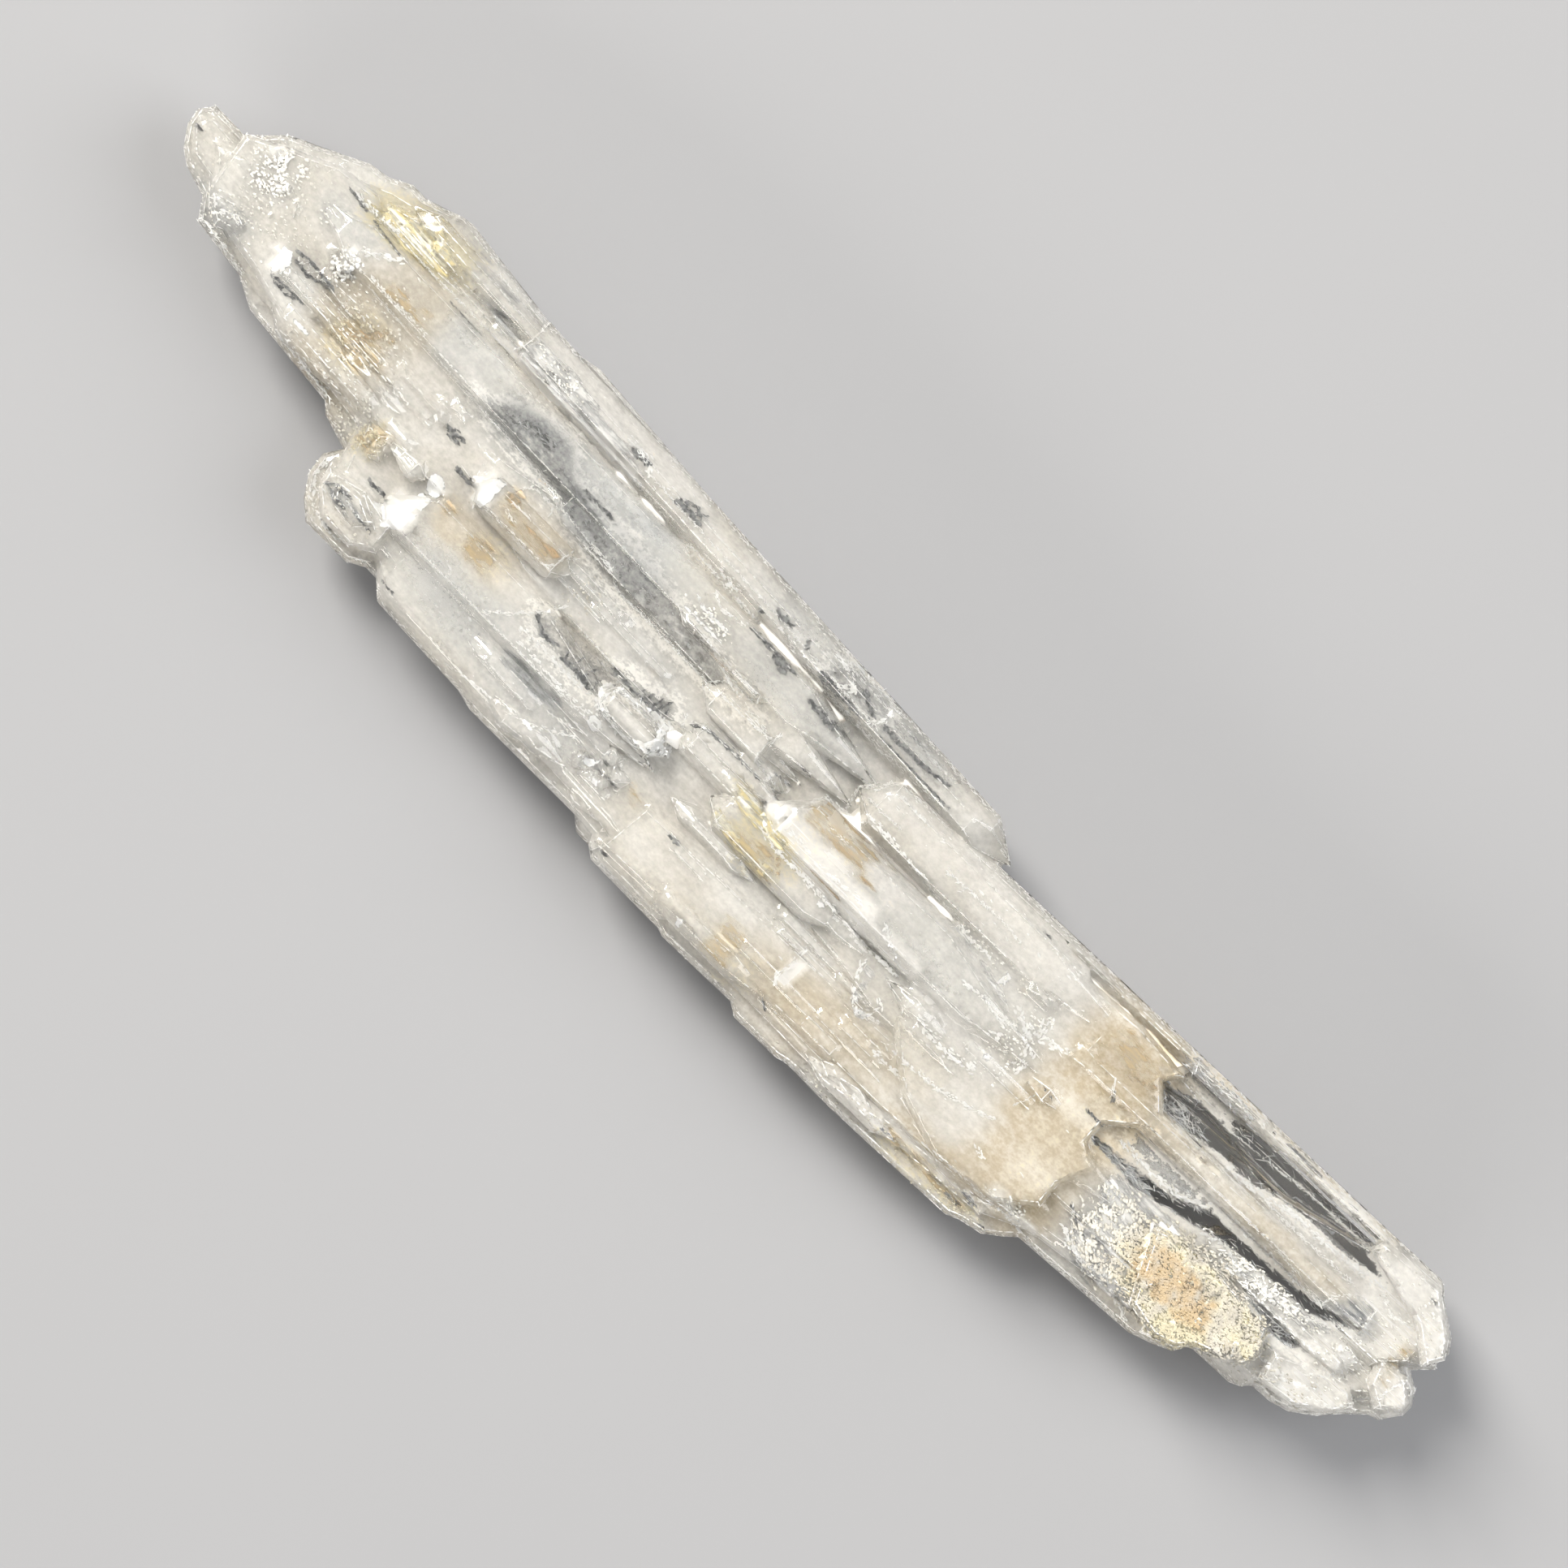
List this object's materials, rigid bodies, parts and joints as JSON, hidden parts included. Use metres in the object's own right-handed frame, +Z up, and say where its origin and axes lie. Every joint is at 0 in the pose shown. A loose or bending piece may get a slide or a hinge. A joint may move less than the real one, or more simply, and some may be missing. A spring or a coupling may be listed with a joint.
{
  "type": "faden quartz crystal specimen",
  "caption": "Flat spray of parallel clear and milky quartz crystals grown together as one elongated loose specimen, lying on its broad side.",
  "frame": {"origin": "bottom centre of the bounding box, in the plane of the face that the specimen rests on", "axes": "+X along the crystals from the knob end to the lobed end, +Y across the slab towards its long blade, +Z up out of the broad ribbed side"},
  "size_m": [0.05, 0.01, 0.0042],
  "materials": {
    "quartz": "clear to milky natural crystal faces",
    "veil": "cloudy healed growth inside the crystal",
    "iron_stain": "matt iron oxide film in cracks",
    "crust": "sugary fine crystal grains"
  },
  "bodies": {
    "root": {"quartz_cluster": "quartz"}
  },
  "joints": []
}
